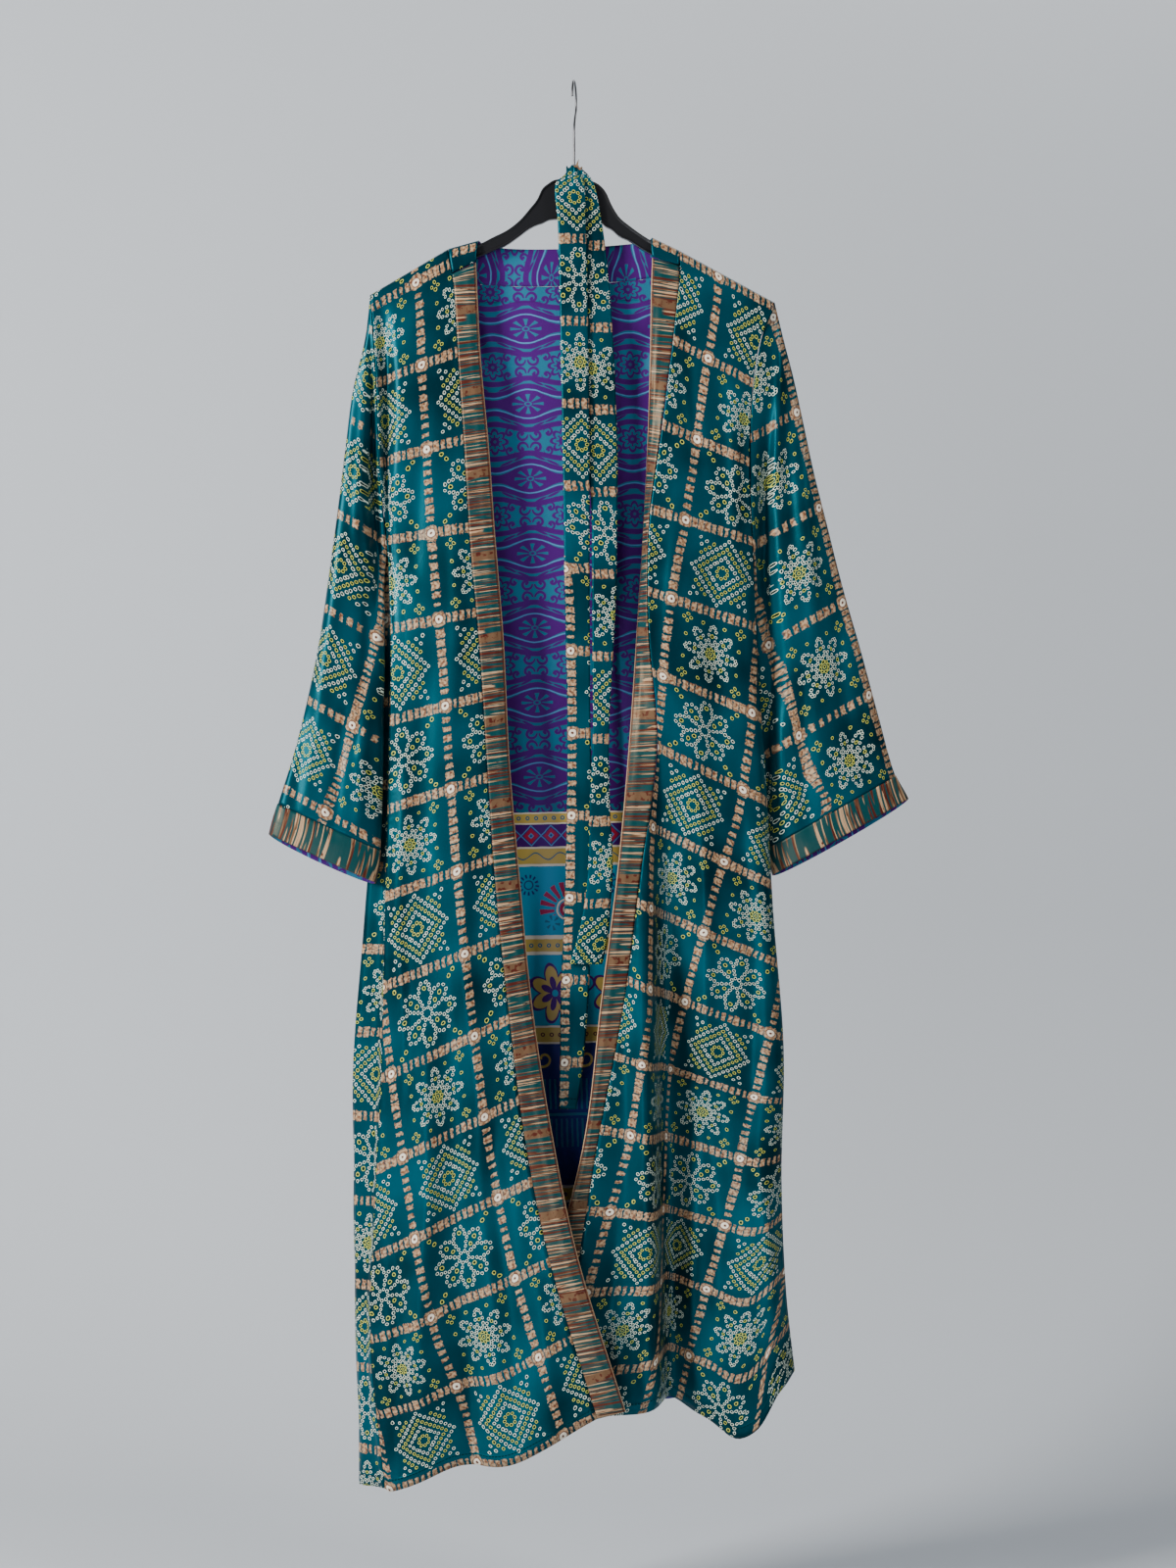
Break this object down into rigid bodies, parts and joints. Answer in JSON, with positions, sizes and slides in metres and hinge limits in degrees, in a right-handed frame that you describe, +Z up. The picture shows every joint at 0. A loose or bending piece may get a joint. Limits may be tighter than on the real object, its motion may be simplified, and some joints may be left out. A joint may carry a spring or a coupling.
{
  "type": "silk kimono robe on a hanger",
  "caption": "Long open-front silk kimono robe with printed panels, gold border bands, contrast lining and a loose sash, hung on a plain clothes hanger.",
  "frame": {"origin": "inside top of the hanger's hook, where a rail or peg carries it", "axes": "+Z up, -Y the front of the robe, +X the wearer's left"},
  "size_m": [0.6647, 0.0944, 1.4593],
  "materials": {
    "printed_silk": "soft satin silk with a resist-dot print",
    "gold_border": "satin silk border with crosswise stripes",
    "lining_silk": "soft satin silk, purple and turquoise print",
    "black_plastic": "smooth moulded plastic",
    "steel_wire": "bright bent wire"
  },
  "bodies": {
    "root": {"back": "printed_silk", "lining_back": "lining_silk", "front_right": "printed_silk", "front_left": "printed_silk", "neck_band": "printed_silk", "band_right": "gold_border", "band_left": "gold_border", "sleeve_right": "printed_silk", "cuff_right": "gold_border", "sash_right": "printed_silk", "sleeve_left": "printed_silk", "cuff_left": "gold_border", "sash_left": "printed_silk", "sash_saddle": "printed_silk", "hanger_bar": "black_plastic", "hanger_hook": "steel_wire"}
  },
  "joints": []
}
